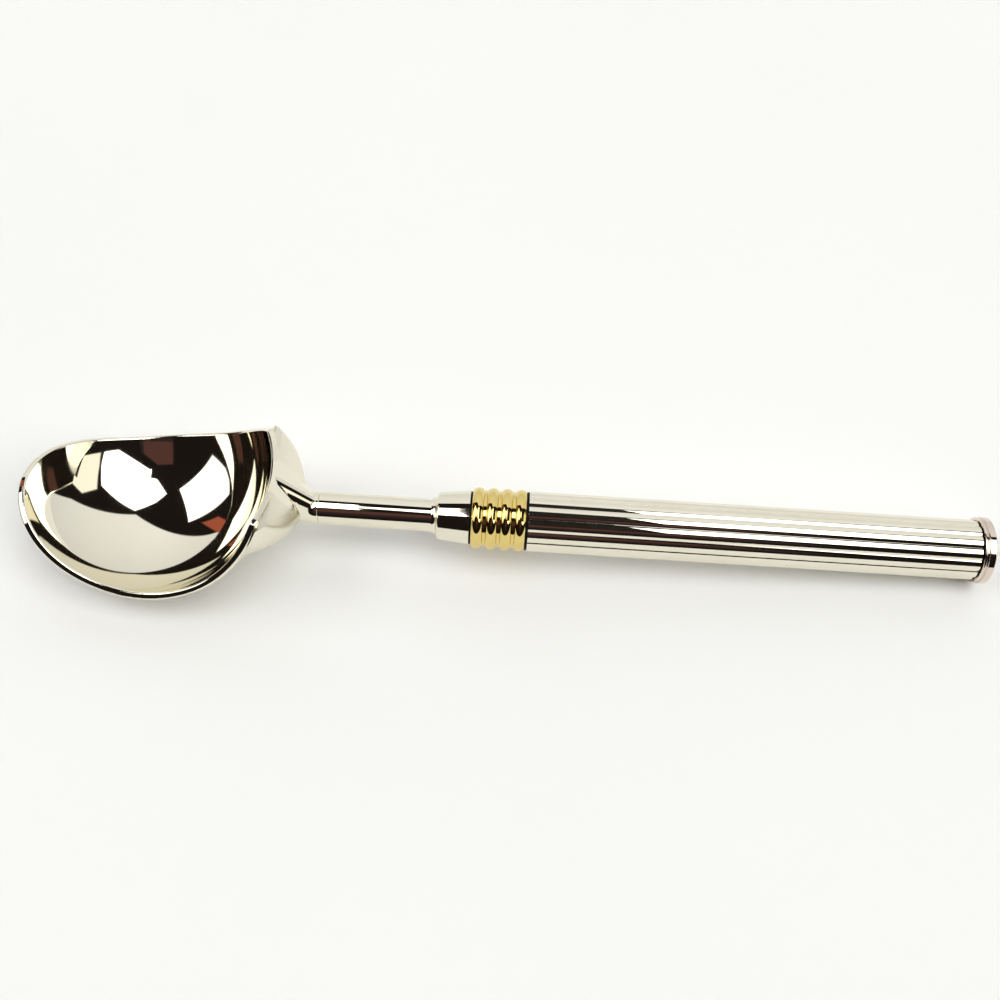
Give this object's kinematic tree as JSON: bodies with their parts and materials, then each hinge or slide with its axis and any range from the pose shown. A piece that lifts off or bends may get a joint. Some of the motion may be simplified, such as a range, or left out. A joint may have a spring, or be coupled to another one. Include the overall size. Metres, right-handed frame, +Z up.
{
  "type": "ice cream scoop",
  "caption": "Ice cream scoop with a deep polished bowl and swooping rim, a plain neck, a gold beaded collar and a fluted metal handle ending in a ring and dome.",
  "frame": {"origin": "on the table under the middle of the scoop as it lies at rest, bowl opening up", "axes": "+X from the bowl towards the handle's end, +Z up, +Y across the tool"},
  "size_m": [0.2382, 0.0482, 0.0305],
  "materials": {
    "polished_steel": "mirror polished",
    "gold": "mirror polished",
    "pale_gold": "polished",
    "black_rubber": "matte",
    "inner_steel": "machined",
    "bush_plastic": "moulded"
  },
  "bodies": {
    "root": {"scoop_bowl": "polished_steel", "neck_shank": "polished_steel", "ferrule": "polished_steel", "fluted_tube": "polished_steel", "dome_cap": "polished_steel", "neck_lock_nut": "inner_steel", "cap_washer": "inner_steel", "tie_rod": "inner_steel", "ferrule_gasket": "black_rubber", "collar_gasket": "black_rubber", "rear_gasket": "black_rubber", "front_bush": "bush_plastic", "rear_bush": "bush_plastic", "bead_collar": "gold", "end_ring": "pale_gold"}
  },
  "joints": []
}
